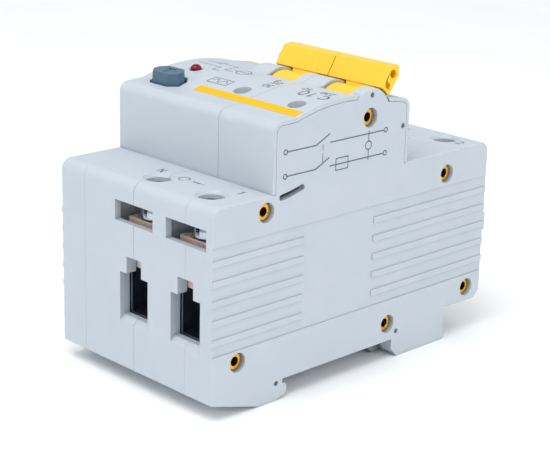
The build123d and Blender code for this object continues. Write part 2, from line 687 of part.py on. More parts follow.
def make_braid(name, pole, end):
    """The flexible braid from the contact arm to the fixed side."""
    a = radians(LEVER_TRAVEL)
    reach = 9.0
    start = (LEVER_Y + reach * sin(a) + cos(a), LEVER_Z - reach * cos(a) + sin(a))
    knee = (start[0] + 3.6 * cos(a), start[1] + 3.6 * sin(a))
    with BuildPart() as braid:
        with BuildLine() as path:
            FilletPolyline((pole, *start), (pole, *knee), (pole, end[0] - 3.4, end[1]), (pole, *end), radius=1.6)
        with BuildSketch(Plane(origin=path.line @ 0, z_dir=path.line % 0)):
            Circle(0.9)
        sweep(path=path.line)
    save(braid, name)


def make_primary_wire(name, pole_name):
    """Insulated wire from the pole through the current transformer and back to the load terminal."""
    pole, y = POLES[pole_name], WIRE_Y[pole_name]
    turn_x = TOROID_X[0] - 1.8
    route = [
        (pole + 1.5, y, TOROID_Z), (turn_x, y, TOROID_Z), (turn_x, y, RETURN_Z), (pole, y, RETURN_Z),
        (pole, y, 31.0), (pole, FAR_BAR_Y, 31.0),
    ]
    with BuildPart() as wire:
        with BuildLine() as path:
            FilletPolyline(*route, radius=2.4)
        with BuildSketch(Plane(origin=path.line @ 0, z_dir=path.line % 0)):
            Circle(WIRE_R)
        sweep(path=path.line)
    save(wire, name)


def make_magnetic_release():
    """Series coil, its iron yoke with a fixed core, and the sliding plunger."""
    axis_z, coil_r, wire, turn_count = 38.0, 4.4, 1.8, 6
    coil_y = (-18.1, -5.9)
    length = coil_y[1] - coil_y[0]
    lug_x = (POLE_L + 3.4, POLE_L + 5.0)
    with BuildPart() as turns:
        with BuildLine() as path:
            Helix(pitch=length / turn_count, height=length, radius=coil_r, direction=(0, 1, 0))
        with BuildSketch(Plane(origin=path.line @ 0, z_dir=path.line % 0)):
            Circle(wire / 2)
        sweep(path=path.line, is_frenet=True)

    # both ends of the wire come out level, on the side of the lugs
    with BuildPart() as coil:
        with Locations((POLE_L, coil_y[0], axis_z)):
            add(turns.part, rotation=(0, 90, 0))
        block(lug_x, (NEAR_BAR_Y, coil_y[0] + 0.4), (33.5, 38.9))
        block(lug_x, (coil_y[1] - 0.5, -1.5), (36.9, 38.9))
        block(lug_x, (-3.0, -1.5), (27.0, 38.9))
    save(coil, "magnetic_coil")

    with BuildPart() as yoke:
        block((14.2, 21.2), (-20.2, -19.0), (31.5, 45.5))
        block((14.2, 21.2), (-5.0, -3.8), (31.5, 45.5))
        block((14.2, 21.2), (-20.2, -3.8), (44.3, 45.5))
        rod_y(POLE_L, axis_z, 2.2, (-19.5, -13.5))
        rod_y(POLE_L, axis_z, 2.2 + RUNNING_FIT, (-5.5, -3.5), Mode.SUBTRACT)
    save(yoke, "magnetic_yoke")

    with BuildPart() as plunger:
        rod_y(POLE_L, axis_z, 2.2, (-12.0, -3.0))
    save(plunger, "magnetic_plunger")


def make_thermal_release():
    """Bimetal strip on its bracket, with the calibration screw through the bracket."""
    with BuildPart() as bracket:
        block((POLE_L - 4.0, POLE_L + 4.0), (24.0, 32.8), (FLOOR_Z, FLOOR_Z + 1.4))
        block((POLE_L - 4.0, POLE_L + 4.0), (31.4, 32.8), (FLOOR_Z, TOROID_Z - WIRE_R))
        rod_y(POLE_L, 12.0, 1.5 + RUNNING_FIT, (31.0, 33.0), Mode.SUBTRACT)
    save(bracket, "bimetal_bracket")

    with BuildPart() as strip:
        block((POLE_L - 3.0, POLE_L + 3.0), (24.4, 25.4), (FLOOR_Z + 1.4, 32.0))
    save(strip, "bimetal_strip")

    with BuildPart() as screw:
        rod_y(POLE_L, 12.0, 1.5, (26.2, 34.0))
        rod_y(POLE_L, 12.0, 2.4, (34.0, 35.6))
        block((POLE_L - 0.4, POLE_L + 0.4), (34.8, 36.0), (9.0, 15.0), Mode.SUBTRACT)
    save(screw, "calibration_screw")


def make_arc_chute():
    """Stack of notched steel plates between two fibre cheeks, over the lower runner."""
    plate_x, plate_y = (12.0, 24.0), (-18.0, 0.0)
    with BuildPart() as plates:
        for i in range(8):
            z = 4.2 + 1.8 * i
            block(plate_x, plate_y, (z, z + 0.8))
            with BuildSketch(Plane.XY.offset(z - 0.1)):
                Polygon((15.5, 0.1), (20.5, 0.1), (18.0, -7.0), align=None)
            extrude(amount=1.0, mode=Mode.SUBTRACT)
    save(plates, "arc_plates")

    with BuildPart() as cheeks:
        for x in ((11.2, 12.0), (24.0, 24.8)):
            block(x, plate_y, (3.4, 18.6))
    save(cheeks, "arc_cheeks")

    with BuildPart() as runner:
        block((14.0, 22.0), (-18.0, 24.0), (FLOOR_Z, FLOOR_Z + 0.8))
    save(runner, "arc_runner")


# ---------------------------------------------------------------- residual-current unit
def make_transformer():
    """Ring core with its winding, around the primary wires."""
    with BuildPart() as core:
        rod_x(TOROID_Y, TOROID_Z, 11.5, (TOROID_X[0] + 1.2, TOROID_X[1] - 1.2))
        rod_x(TOROID_Y, TOROID_Z, 8.5, (TOROID_X[0], TOROID_X[1]), Mode.SUBTRACT)
    save(core, "toroid_core")

    with BuildPart() as winding:
        rod_x(TOROID_Y, TOROID_Z, 13.0, TOROID_X)
        rod_x(TOROID_Y, TOROID_Z, 7.0, (TOROID_X[0] - 1, TOROID_X[1] + 1), Mode.SUBTRACT)
        with BuildSketch(Plane.YZ.offset(TOROID_X[0] + 1.2)):
            with Locations((TOROID_Y, TOROID_Z)):
                Circle(11.5)
                Circle(8.5, mode=Mode.SUBTRACT)
        extrude(amount=TOROID_X[1] - TOROID_X[0] - 2.4, mode=Mode.SUBTRACT)
    save(winding, "toroid_winding")


def make_circuit_board():
    face_x = -22.4
    with BuildPart() as board:
        block((face_x - 1.6, face_x), (-35.0, 13.0), (11.0, 39.0))
    save(board, "circuit_board")

    with BuildPart() as parts:
        for y, z, wide, tall, high in [(-30, 32, 5, 9, 2), (-30, 18, 7, 7, 6), (-18, 16, 9, 4, 3), (-4, 30, 6, 6, 2)]:
            block((face_x, face_x + high), (y - wide / 2, y + wide / 2), (z - tall / 2, z + tall / 2))
        for y, z, radius, high in [(-20, 26, 3.2, 8), (-10, 18, 3.2, 8), (6, 18, 4.0, 9), (6, 31, 2.5, 6)]:
            rod_x(y, z, radius, (face_x, face_x + high))
    save(parts, "board_components")


def make_relay():
    """Electromagnet that pushes the trip bar when the amplifier sees a residual current."""
    x, z = -16.5, 38.5
    with BuildPart() as coil:
        rod_y(x, z, 4.2, (-17.8, -6.2))
        rod_y(x, z, 2.3, (-18.5, -5.5), Mode.SUBTRACT)
    save(coil, "relay_coil")

    with BuildPart() as frame:
        block((x - 4.4, x + 4.4), (-19.0, -17.8), (33.5, 43.9))
        block((x - 4.4, x + 4.4), (-6.2, -5.0), (33.5, 43.9))
        block((x - 4.4, x + 4.4), (-19.0, -5.0), (42.7, 43.9))
        rod_y(x, z, 1.8 + RUNNING_FIT, (-7.0, -4.5), Mode.SUBTRACT)
    save(frame, "relay_frame")

    with BuildPart() as plunger:
        rod_y(x, z, 1.8, (-15.0, -3.0))
    save(plunger, "relay_plunger")


def make_trip_bar():
    """Shaft through all three cavities with one arm for each release."""
    with BuildPart() as bar:
        rod_x(BAR_Y, TRIP_Z, TRIP_R, (-21.0, 21.0))
        for x in (-16.5, POLE_N, POLE_L):
            block((x - 2.0, x + 2.0), (BAR_Y - 0.9, BAR_Y + 0.9), (36.0, TRIP_Z))
    save(bar, "trip_bar")


def make_test_circuit():
    with BuildPart() as button:
        with BuildSketch(Plane.XY.offset(BUTTON_FOOT)):
            button_outline(1.2)
        extrude(amount=1.0)
        with BuildSketch(Plane.XY.offset(BUTTON_FOOT)):
            button_outline(0.0)
        extrude(amount=BUTTON_TOP[1] + 1.0 - BUTTON_FOOT, taper=BUTTON_TAPER)
        # sloping top with a shallow engraved T
        front, back = BUTTON_Y - BUTTON_D / 2, BUTTON_Y + BUTTON_D / 2
        above = [(front - 1, BUTTON_TOP[0]), (back + 1, BUTTON_TOP[1]), (back + 1, 70), (front - 1, 70)]
        side_prism(above, (BUTTON_X - BUTTON_W, BUTTON_X + BUTTON_W), Mode.SUBTRACT)
        mark = (BUTTON_TOP[0], BUTTON_TOP[1] + 1.0)
        block((BUTTON_X - 0.3, BUTTON_X + 0.3), (BUTTON_Y - 1.7, BUTTON_Y + 1.4), mark, Mode.SUBTRACT)
        block((BUTTON_X - 1.6, BUTTON_X + 1.6), (BUTTON_Y + 0.8, BUTTON_Y + 1.4), mark, Mode.SUBTRACT)
        rod_z(BUTTON_X, BUTTON_Y, 2.0, (47.5, BUTTON_FOOT + 0.5))
    save(button, "test_button")

    spring("test_spring", (BUTTON_X, BUTTON_Y, 50.3), (0, 0, 1), 3.0, 0.5, 7.3, 5)

    with BuildPart() as leaf:
        block((BUTTON_X - 2.0, BUTTON_X + 2.0), (-20.5, -10.0), (45.0, 45.4))
        block((BUTTON_X - 2.0, BUTTON_X + 2.0), (-20.5, -20.1), (45.0, 48.8))
    save(leaf, "test_contact")


def make_lamp():
    with BuildPart() as lamp:
        rod_z(LAMP_X, LAMP_Y, 1.5, (57.5, 63.3))
        rod_z(LAMP_X, LAMP_Y, 1.9, (57.0, 58.0))
        with Locations((LAMP_X, LAMP_Y, 63.3)):
            Sphere(1.5)
        for shift in (-0.6, 0.6):
            rod_z(LAMP_X + shift, LAMP_Y, 0.25, (50.0, 57.2))
    save(lamp, "fault_lamp")


# ---------------------------------------------------------------- rail clips
def make_rail_clip(name, pole):
    """Sliding clip: jaw under the rail's lip, flanged body and a tail with a tool slot."""
    with BuildPart() as clip:
        jaw = [(19.4, -1.8), (16.6, -1.8), (16.3, -2.3), (18.6, FOOT_Z + 0.3), (19.4, FOOT_Z + 0.3)]
        side_prism(jaw, (pole - CLIP_HALF, pole + CLIP_HALF))
        block((pole - CLIP_HALF, pole + CLIP_HALF), (19.4, 43.4), (FOOT_Z + 0.3, -1.8))
        block((pole - CLIP_FLANGE, pole + CLIP_FLANGE), (20.4, 38.8), (-2.9, -1.8))
        block((pole - 2.2, pole + 2.2), (40.8, 42.2), (FOOT_Z, -1.0), Mode.SUBTRACT)
    save(clip, name)


# ---------------------------------------------------------------- build everything
make_left_cover()
make_left_shell()
make_right_shell()
make_right_cover()
make_rivets()
for pole_name, pole_x in POLES.items():
    make_handle(f"handle_{pole_name}", pole_x)
    drum_left = pole_x + DRUM_SHIFT - DRUM_W / 2
    spring(f"handle_spring_{pole_name}", (drum_left + 0.5, AXIS_Y, AXIS_Z), (1, 0, 0), 3.6, 0.6, 2.0, 3)
    make_link(f"link_{pole_name}", pole_x)
    make_carrier(f"carrier_{pole_name}", pole_x)
    make_contact_arm(f"contact_arm_{pole_name}", pole_x)
    spring(f"contact_spring_{pole_name}", (pole_x - 6.0, LEVER_Y, LEVER_Z), (1, 0, 0), 2.2, 0.6, 2.8, 4)
    make_primary_wire(f"primary_wire_{pole_name}", pole_name)
    for terminal_end in TERMINALS:
        make_terminal(pole_name, terminal_end)
    make_rail_clip(f"rail_clip_{pole_name}", pole_x)
make_tie_pin()
make_lever_axle()
make_fixed_contacts()
make_braid("braid_n", POLE_N, (WIRE_Y["n"] - WIRE_R, TOROID_Z))
make_braid("braid_l", POLE_L, (24.4, 29.0))
make_magnetic_release()
make_thermal_release()
make_arc_chute()
make_transformer()
make_circuit_board()
make_relay()
make_trip_bar()
make_test_circuit()
make_lamp()

link_turn = 2 * degrees(atan2(LINK_FOOT[0] - LINK_TOP[0], LINK_TOP[1] - LINK_FOOT[1]))
print("link top", LINK_TOP, "ratio", -(HANDLE_TRAVEL + link_turn) / HANDLE_TRAVEL)
print("lever ratio", -LEVER_TRAVEL / HANDLE_TRAVEL)
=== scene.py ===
"""Looks of the residual current device: camera, light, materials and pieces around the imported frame."""
import json
import math

import bmesh
import bpy
from mathutils import Matrix, Vector
from mathutils.bvhtree import BVHTree


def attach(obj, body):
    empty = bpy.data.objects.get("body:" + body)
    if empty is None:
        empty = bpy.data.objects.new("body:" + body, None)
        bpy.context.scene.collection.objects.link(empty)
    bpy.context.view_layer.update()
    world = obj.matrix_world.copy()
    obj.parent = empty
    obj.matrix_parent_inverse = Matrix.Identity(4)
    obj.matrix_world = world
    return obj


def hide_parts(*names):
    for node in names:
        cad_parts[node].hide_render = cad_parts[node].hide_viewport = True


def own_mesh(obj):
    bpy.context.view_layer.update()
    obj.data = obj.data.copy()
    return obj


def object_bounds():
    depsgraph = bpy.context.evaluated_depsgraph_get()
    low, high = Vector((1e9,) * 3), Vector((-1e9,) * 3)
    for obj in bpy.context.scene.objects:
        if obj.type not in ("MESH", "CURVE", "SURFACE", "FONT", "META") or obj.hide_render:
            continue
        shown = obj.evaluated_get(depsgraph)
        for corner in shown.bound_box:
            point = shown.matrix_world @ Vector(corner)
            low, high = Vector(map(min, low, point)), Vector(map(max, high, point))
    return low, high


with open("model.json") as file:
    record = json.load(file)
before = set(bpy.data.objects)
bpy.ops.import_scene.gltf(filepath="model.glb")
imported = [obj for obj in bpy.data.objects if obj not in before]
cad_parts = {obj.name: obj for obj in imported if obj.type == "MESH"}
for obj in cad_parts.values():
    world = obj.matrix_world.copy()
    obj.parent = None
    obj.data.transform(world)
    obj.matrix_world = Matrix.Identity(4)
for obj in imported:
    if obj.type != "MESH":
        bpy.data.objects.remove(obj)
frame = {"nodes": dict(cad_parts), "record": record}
CAD_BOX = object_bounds()
MM = 0.001
NODE_BODY = {node: body for body, nodes in frame["record"]["behaviour"]["bodies"].items() for node in nodes}


# ---------------------------------------------------------------- camera, floor and light
AIM = Vector((0, 5.15, 25.99)) * MM
DISTANCE = 387.2 * MM
AZIMUTH, ELEVATION, ROLL = (math.radians(a) for a in (45.56, 17.59, 1.47))
LENS_MM = 102.4
FLOOR_SIZE = 6
SKY_STRENGTH, SKY_TINT = 1.06, (0.93, 0.97, 1.0)
SKY = ((0.0, 0.88), (0.02, 0.88), (0.1, 0.42))     # height and share of the full strength
LIGHTS = {      # place and size in metres, power in watts, tint
    "key": ((-0.6, -0.5, 0.45), 0.5, 0.4, (1, 1, 1)),
    "side": ((0.85, 0.05, 0.4), 0.6, 1.5, (1.0, 0.98, 0.95)),
    "top": ((0.12, -0.4, 0.9), 0.6, 4.3, (1, 1, 1)),
}


def make_camera():
    camera = bpy.data.objects.new("camera", bpy.data.cameras.new("camera"))
    camera.data.lens = LENS_MM
    camera.data.clip_start = 0.01
    reach = math.cos(ELEVATION)
    back = Vector((math.sin(AZIMUTH) * reach, -math.cos(AZIMUTH) * reach, math.sin(ELEVATION)))
    level = Vector((math.cos(AZIMUTH), math.sin(AZIMUTH), 0))
    right = Matrix.Rotation(ROLL, 3, back) @ level
    turn = Matrix((right, back.cross(right), back)).transposed()
    camera.matrix_world = Matrix.Translation(AIM + back * DISTANCE) @ turn.to_4x4()
    bpy.context.scene.collection.objects.link(camera)
    bpy.context.scene.camera = camera


def soft_light(name, place, size, power, tint):
    """A square softbox, aimed at the device."""
    light = bpy.data.lights.new(name, "AREA")
    light.size = size
    light.energy = power
    light.color = tint
    lamp = bpy.data.objects.new(name, light)
    lamp.location = place
    lamp.rotation_euler = (AIM - Vector(place)).to_track_quat("-Z", "Y").to_euler()
    bpy.context.scene.collection.objects.link(lamp)


def shine_from_above(tree):
    """A pale sky: as bright as the floor at the horizon, dim just above it and brightest overhead."""
    way = tree.nodes.new("ShaderNodeSeparateXYZ")
    sky = tree.nodes.new("ShaderNodeValToRGB")
    stops = sky.color_ramp.elements
    stops[0].color = tuple(SKY[0][1] * c for c in SKY_TINT) + (1,)
    stops[1].color = SKY_TINT + (1,)
    for place, share in SKY[1:]:
        stops.new(place).color = tuple(share * c for c in SKY_TINT) + (1,)
    tree.links.new(tree.nodes.new("ShaderNodeTexCoord").outputs["Generated"], way.inputs["Vector"])
    tree.links.new(way.outputs["Z"], sky.inputs["Fac"])
    tree.links.new(sky.outputs["Color"], tree.nodes["Background"].inputs["Color"])
    tree.nodes["Background"].inputs["Strength"].default_value = SKY_STRENGTH


def make_studio():
    scene = bpy.context.scene
    scene.view_settings.view_transform = "Standard"
    world = bpy.data.worlds.new("studio")
    scene.world = world
    world.use_nodes = True
    shine_from_above(world.node_tree)
    for name, light in LIGHTS.items():
        soft_light(name, *light)

    bpy.ops.mesh.primitive_plane_add(size=FLOOR_SIZE, location=(0, 0, CAD_BOX[0][2]))
    floor = bpy.context.object
    floor.name = "floor"
    floor.data.materials.append(floor_paper())


# ---------------------------------------------------------------- materials
class Nodes:
    """The node tree of one new material, with short calls for what the materials here are made of."""

    def __init__(self, name):
        self.material = bpy.data.materials.new(name)
        self.material.use_nodes = True
        self.tree = self.material.node_tree
        self.shader = self.tree.nodes["Principled BSDF"]
        self.place = self.tree.nodes.new("ShaderNodeTexCoord").outputs["Object"]

    def add(self, kind, sockets=None, **settings):
        node = self.tree.nodes.new("ShaderNode" + kind)
        for key, value in settings.items():
            setattr(node, key, value)
        for key, value in (sockets or {}).items():
            self.feed(node.inputs[key], value)
        return node

    def feed(self, socket, value):
        if isinstance(value, bpy.types.NodeSocket):
            self.tree.links.new(value, socket)
        else:
            socket.default_value = value

    def noise(self, size_mm, detail=3.0, stretch=(1, 1, 1)):
        """Fractal noise from 0 to 1, with features of about a size in millimetres."""
        place = self.add("Mapping", {"Vector": self.place, "Scale": stretch}).outputs["Vector"]
        sockets = {"Vector": place, "Scale": 1 / (size_mm * MM), "Detail": detail}
        return self.add("TexNoise", sockets).outputs["Fac"]

    def ramp(self, value, low, high, start=0.3, end=0.7):
        """The value mapped from start..end to low..high."""
        sockets = {"Value": value, "From Min": start, "From Max": end, "To Min": low, "To Max": high}
        return self.add("MapRange", sockets).outputs["Result"]

    def mix(self, factor, first, second):
        node = self.add("Mix", data_type="RGBA")
        self.feed(node.inputs["Factor"], factor)
        self.feed(node.inputs[6], first)
        self.feed(node.inputs[7], second)
        return node.outputs[2]

    def softened(self, radius_mm):
        """The normal over edges that are rounded by a radius."""
        return self.add("Bevel", {"Radius": radius_mm * MM}, samples=6).outputs["Normal"]

    def edges(self, reach_mm=0.2):
        """1 on edges, 0 elsewhere."""
        flat = self.add("NewGeometry").outputs["Normal"]
        turn = self.add("VectorMath", {0: self.softened(reach_mm), 1: flat}, operation="DOT_PRODUCT")
        return self.ramp(turn.outputs["Value"], 1, 0, 0.75, 0.97)

    def crevices(self, reach_mm=1.2):
        """1 in narrow gaps and corners, 0 in the open."""
        open_sky = self.add("AmbientOcclusion", {"Distance": reach_mm * MM}, samples=6).outputs["AO"]
        return self.ramp(open_sky, 1, 0, 0.25, 0.95)

    def bump(self, height, strength, depth_mm, round_mm=0.14):
        """Relief over edges that are softened by a radius."""
        sockets = {"Height": height, "Strength": strength, "Distance": depth_mm * MM}
        sockets["Normal"] = self.softened(round_mm)
        self.feed(self.shader.inputs["Normal"], self.add("Bump", sockets).outputs["Normal"])

    def set(self, **values):
        for key, value in values.items():
            self.feed(self.shader.inputs[key.replace("_", " ")], value)


def linear(channel):
    """The linear value of one sRGB channel of 0 to 255."""
    if channel <= 10:
        return channel / 255 / 12.92
    return ((channel / 255 + 0.055) / 1.055) ** 2.4


def rgb(r, g, b):
    """A linear colour from sRGB values of 0 to 255."""
    return (linear(r), linear(g), linear(b), 1)


def darker(colour, share):
    return tuple(share * c for c in colour[:3]) + (1,)


def plastic(name, base, shade, edge, roughness=(0.36, 0.5), grain_mm=0.12, grain=0.12, crevice_shade=0.5):
    """Moulded plastic: spark-eroded grain, faint flow mottling, a painted highlight on its edges and
    painted shade in its gaps and corners.
    """
    n = Nodes(name)
    mottled = n.mix(n.ramp(n.noise(9, 4), 0, 1), base, shade)
    # painted highlight: the edges are lightened towards the edge colour
    painted_edge_highlight = n.mix(n.edges(), mottled, edge)
    # painted shade: narrow gaps and corners are darkened by an ambient occlusion mask
    painted_crevice_shade = n.mix(n.ramp(n.crevices(), 0, crevice_shade, 0, 1), painted_edge_highlight, darker(shade, 0.45))
    n.set(Base_Color=painted_crevice_shade, Roughness=n.ramp(n.noise(2.5, 4), *roughness))
    n.bump(n.noise(grain_mm, 2), grain, 0.02)
    return n


def floor_paper():
    n = Nodes("floor_paper")
    tone = n.mix(n.ramp(n.noise(60, 3), 0, 1), rgb(250, 250, 250), rgb(254, 254, 254))
    n.set(Base_Color=tone, Roughness=n.ramp(n.noise(5), 0.75, 0.9))
    return n.material


def housing_plastic():
    # the third colour is the painted highlight on the edges
    n = plastic("housing_plastic", rgb(193, 200, 208), rgb(189, 197, 205), rgb(206, 214, 221))
    n.set(Subsurface_Weight=0.08, Subsurface_Radius=(0.9, 1.0, 1.1), Subsurface_Scale=0.4 * MM)
    return n.material


def handle_plastic():
    """Glossy amber with a paler painted highlight on its edges."""
    # the third tone is the painted highlight on the edges
    tones = (rgb(252, 204, 32), rgb(252, 198, 24), rgb(255, 218, 84))
    n = plastic("handle_plastic", *tones, roughness=(0.26, 0.36), grain_mm=0.5, grain=0.03, crevice_shade=0.15)
    n.set(Subsurface_Weight=0.12, Subsurface_Radius=(1.0, 0.45, 0.05), Subsurface_Scale=0.5 * MM)
    n.set(Coat_Weight=0.2, Coat_Roughness=0.18)
    return n.material


def lamp_plastic():
    """Deep crimson clear plastic with a painted sheen: its rim, where it turns from view, is painted a
    lighter crimson.
    """
    n = Nodes("lamp_plastic")
    facing = n.add("LayerWeight", {"Blend": 0.45}).outputs["Facing"]
    depth = n.mix(n.ramp(n.noise(0.8, 2), 0, 1), rgb(118, 2, 30), rgb(100, 1, 24))
    # painted sheen: a lighter crimson towards the rim
    n.set(Base_Color=n.mix(facing, depth, rgb(140, 8, 30)), Roughness=n.ramp(n.noise(1.5), 0.08, 0.16))
    n.set(Specular_IOR_Level=0.25, Coat_Weight=0.15, Coat_Roughness=0.04)
    n.bump(n.noise(0.9, 2), 0.05, 0.02)
    return n.material


def metal(name, base, shade, edge, roughness, scratch_mm=0.25, stretch=(1, 1, 1), metallic=1.0, depth=0.25):
    """Worked metal: fine drawn lines, cloudy tone, a painted highlight on its edges and painted shade in
    its gaps.
    """
    n = Nodes(name)
    cloudy = n.mix(n.ramp(n.noise(3.5, 5), 0, 1), base, shade)
    # painted highlight: the edges are lightened towards the edge colour
    bright = n.mix(n.edges(), cloudy, edge)
    # painted shade: narrow gaps are darkened by an ambient occlusion mask
    gaps = n.mix(n.ramp(n.crevices(0.8), 0, 0.5, 0, 1), bright, darker(shade, 0.25))
    n.set(Base_Color=gaps, Metallic=metallic, Roughness=n.ramp(n.noise(1.2, 5), *roughness))
    n.bump(n.noise(scratch_mm, 3, stretch), depth, 0.015)
    return n.material


def dull(name, base, shade, edge, roughness, grain_mm=0.2, grain=0.2):
    """A plain moulded plastic or board, as a finished material."""
    return plastic(name, base, shade, edge, roughness, grain_mm, grain).material


def printing_ink(name, base, shade):
    """Pad-printed ink, slightly mottled."""
    n = Nodes(name)
    n.set(Base_Color=n.mix(n.ramp(n.noise(0.7, 4), 0, 1), base, shade))
    n.set(Roughness=n.ramp(n.noise(0.5), 0.4, 0.55), Specular_IOR_Level=0.2)
    n.bump(n.noise(0.25, 3), 0.15, 0.01)
    return n.material


# The third colour of each material is its painted edge highlight; plastic() and metal() also paint shade
# into gaps.
MATERIALS = {
    "housing": housing_plastic(),
    "cover": housing_plastic(),
    "handle": handle_plastic(),
    "button": dull(
        "button_plastic", rgb(72, 104, 126), rgb(66, 98, 120), rgb(120, 146, 164),
        (0.3, 0.4), 0.2, 0.1,
    ),
    "lamp": lamp_plastic(),
    "clip": dull(
        "clip_plastic", rgb(150, 160, 170), rgb(142, 152, 162), rgb(176, 186, 194),
        (0.4, 0.55),
    ),
    "mechanism": dull(
        "mechanism_plastic", rgb(52, 54, 58), rgb(44, 46, 50), rgb(82, 84, 88),
        (0.4, 0.6),
    ),
    "fibre": dull(
        "fibre_board", rgb(176, 128, 92), rgb(150, 104, 72), rgb(196, 150, 112),
        (0.7, 0.9), 0.4, 0.5,
    ),
    "brass": metal(
        "brass_tube", rgb(232, 184, 84), rgb(206, 152, 52), rgb(255, 226, 140),
        (0.16, 0.32),
    ),
    "copper": metal(
        "tinned_copper", rgb(250, 224, 208), rgb(242, 210, 192), rgb(255, 246, 238),
        (0.2, 0.34), 0.3, (6, 1, 1), 0.35, 0.1,
    ),
    "steel": metal(
        "plated_steel", rgb(196, 204, 212), rgb(168, 180, 192), rgb(240, 246, 250),
        (0.14, 0.3),
    ),
    "dark_steel": metal(
        "blued_steel", rgb(128, 138, 156), rgb(104, 114, 134), rgb(206, 216, 228),
        (0.28, 0.42),
    ),
    "spring_steel": metal(
        "spring_wire", rgb(170, 174, 180), rgb(140, 144, 152), rgb(220, 224, 230),
        (0.2, 0.34),
    ),
    "bimetal": metal(
        "bimetal_strip", rgb(188, 178, 160), rgb(160, 148, 130), rgb(224, 216, 200),
        (0.3, 0.45), 0.2, (1, 8, 1),
    ),
    "winding": metal(
        "lacquered_winding", rgb(196, 108, 48), rgb(160, 80, 30), rgb(232, 150, 84),
        (0.2, 0.34), 0.5, (6, 1, 1),
    ),
    "core": dull("core_case", rgb(58, 58, 62), rgb(46, 46, 50), rgb(86, 86, 90), (0.6, 0.8)),
    "board": dull("board_laminate", rgb(44, 104, 66), rgb(34, 88, 54), rgb(90, 140, 104), (0.35, 0.5)),
    "components": dull(
        "component_case", rgb(44, 44, 48), rgb(34, 34, 38), rgb(78, 78, 82),
        (0.4, 0.55),
    ),
    "wire": dull("wire_insulation", rgb(176, 34, 30), rgb(150, 24, 22), rgb(206, 70, 62), (0.35, 0.5)),
    "ink": printing_ink("grey_ink", rgb(92, 102, 112), rgb(108, 118, 128)),
    "amber_ink": printing_ink("amber_ink", rgb(240, 188, 0), rgb(236, 180, 0)),
}


# ---------------------------------------------------------------- mesh helpers
SLOT_OF = {part["node"]: part["material_slot"] for part in frame["record"]["subparts"]}
SHARP_ANGLE = math.radians(32)
FLAT_ANGLE = math.radians(0.5)
WELD_MM = 0.002


def stand_in(node):
    """A copy of a CAD node, shown in place of it and moving with it."""
    piece = bpy.data.objects.new(node + "_skin", frame["nodes"][node].data.copy())
    bpy.context.scene.collection.objects.link(piece)
    piece.data.materials.clear()
    piece.data.materials.append(MATERIALS[SLOT_OF[node]])
    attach(piece, NODE_BODY[node])
    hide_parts(node)
    return piece


def rounded(node, width_mm, segments=2):
    """A stand-in with its sharp edges rounded."""
    piece = stand_in(node)
    bm = bmesh.new()
    bm.from_mesh(piece.data)
    bmesh.ops.remove_doubles(bm, verts=bm.verts, dist=WELD_MM * MM)
    bmesh.ops.dissolve_limit(bm, angle_limit=FLAT_ANGLE, verts=bm.verts, edges=bm.edges)
    for face in bm.faces:
        face.smooth = True
    for edge in bm.edges:
        edge.smooth = edge.calc_face_angle(0) < SHARP_ANGLE
    bm.to_mesh(piece.data)
    bm.free()
    bevel = piece.modifiers.new("rounded", "BEVEL")
    bevel.width = width_mm * MM
    bevel.segments = segments
    bevel.limit_method = "ANGLE"
    bevel.angle_limit = SHARP_ANGLE
    bevel.use_clamp_overlap = False
    bevel.harden_normals = True
    return piece


def make_test_spring():
    """The spring under the test button, as a stand-in with a mesh of its own."""
    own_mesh(stand_in("test_spring"))


def paint(node):
    """Give an inner CAD node the material of its slot."""
    mesh = frame["nodes"][node].data
    mesh.materials.clear()
    mesh.materials.append(MATERIALS[SLOT_OF[node]])


SHELLS = ("left_cover", "left_shell", "right_shell", "right_cover")


def shell_surface():
    """The outside of the housing, to lay prints on."""
    points, faces = [], []
    for name in SHELLS:
        mesh = frame["nodes"][name].data
        start = len(points)
        points += [vertex.co.copy() for vertex in mesh.vertices]
        faces += [[start + index for index in polygon.vertices] for polygon in mesh.polygons]
    return BVHTree.FromPolygons(points, faces)


SURFACE = shell_surface()
PRINT_LIFT = 0.02
PRINT_SPACING = 0.8     # between the points that follow the surface
CLEAR = 90              # outside the housing on every side
OVERRUN = 0.6           # of half a stroke's width, past its end points
TOP, RIGHT = "top", "right"


def landed(side, a, b):
    """The place on the housing under (x, y) from the front, or under (y, z) from the right, in mm."""
    if side == TOP:
        start, way = Vector((a, b, CLEAR)) * MM, Vector((0, 0, -1))
    else:
        start, way = Vector((CLEAR, a, b)) * MM, Vector((-1, 0, 0))
    return SURFACE.ray_cast(start, way)[0] - way * PRINT_LIFT * MM


def drape(bm, side, rows):
    """A strip of quads between rows of points, laid on the housing."""
    grid = [[bm.verts.new(landed(side, *point)) for point in row] for row in rows]
    for low, high in zip(grid, grid[1:]):
        for quad in zip(low, low[1:], high[1:], high):
            bm.faces.new(quad)


def steps(start, end, spacing):
    """Points from start to end, both included, no further apart than a spacing."""
    count = max(1, math.ceil(math.dist(start, end) / spacing))
    return [tuple(p + (q - p) * i / count for p, q in zip(start, end)) for i in range(count + 1)]


def stroke(bm, side, points, width):
    """A printed line of one width through points."""
    for start, end in zip(points, points[1:]):
        length = math.dist(start, end)
        along = ((end[0] - start[0]) / length, (end[1] - start[1]) / length)
        reach = width / 2
        first = (start[0] - along[0] * reach * OVERRUN, start[1] - along[1] * reach * OVERRUN)
        last = (end[0] + along[0] * reach * OVERRUN, end[1] + along[1] * reach * OVERRUN)
        rows = []
        for sign in (-1, 1):
            shift = (-along[1] * reach * sign, along[0] * reach * sign)
            rows.append([(p[0] + shift[0], p[1] + shift[1]) for p in steps(first, last, PRINT_SPACING)])
        drape(bm, side, rows)


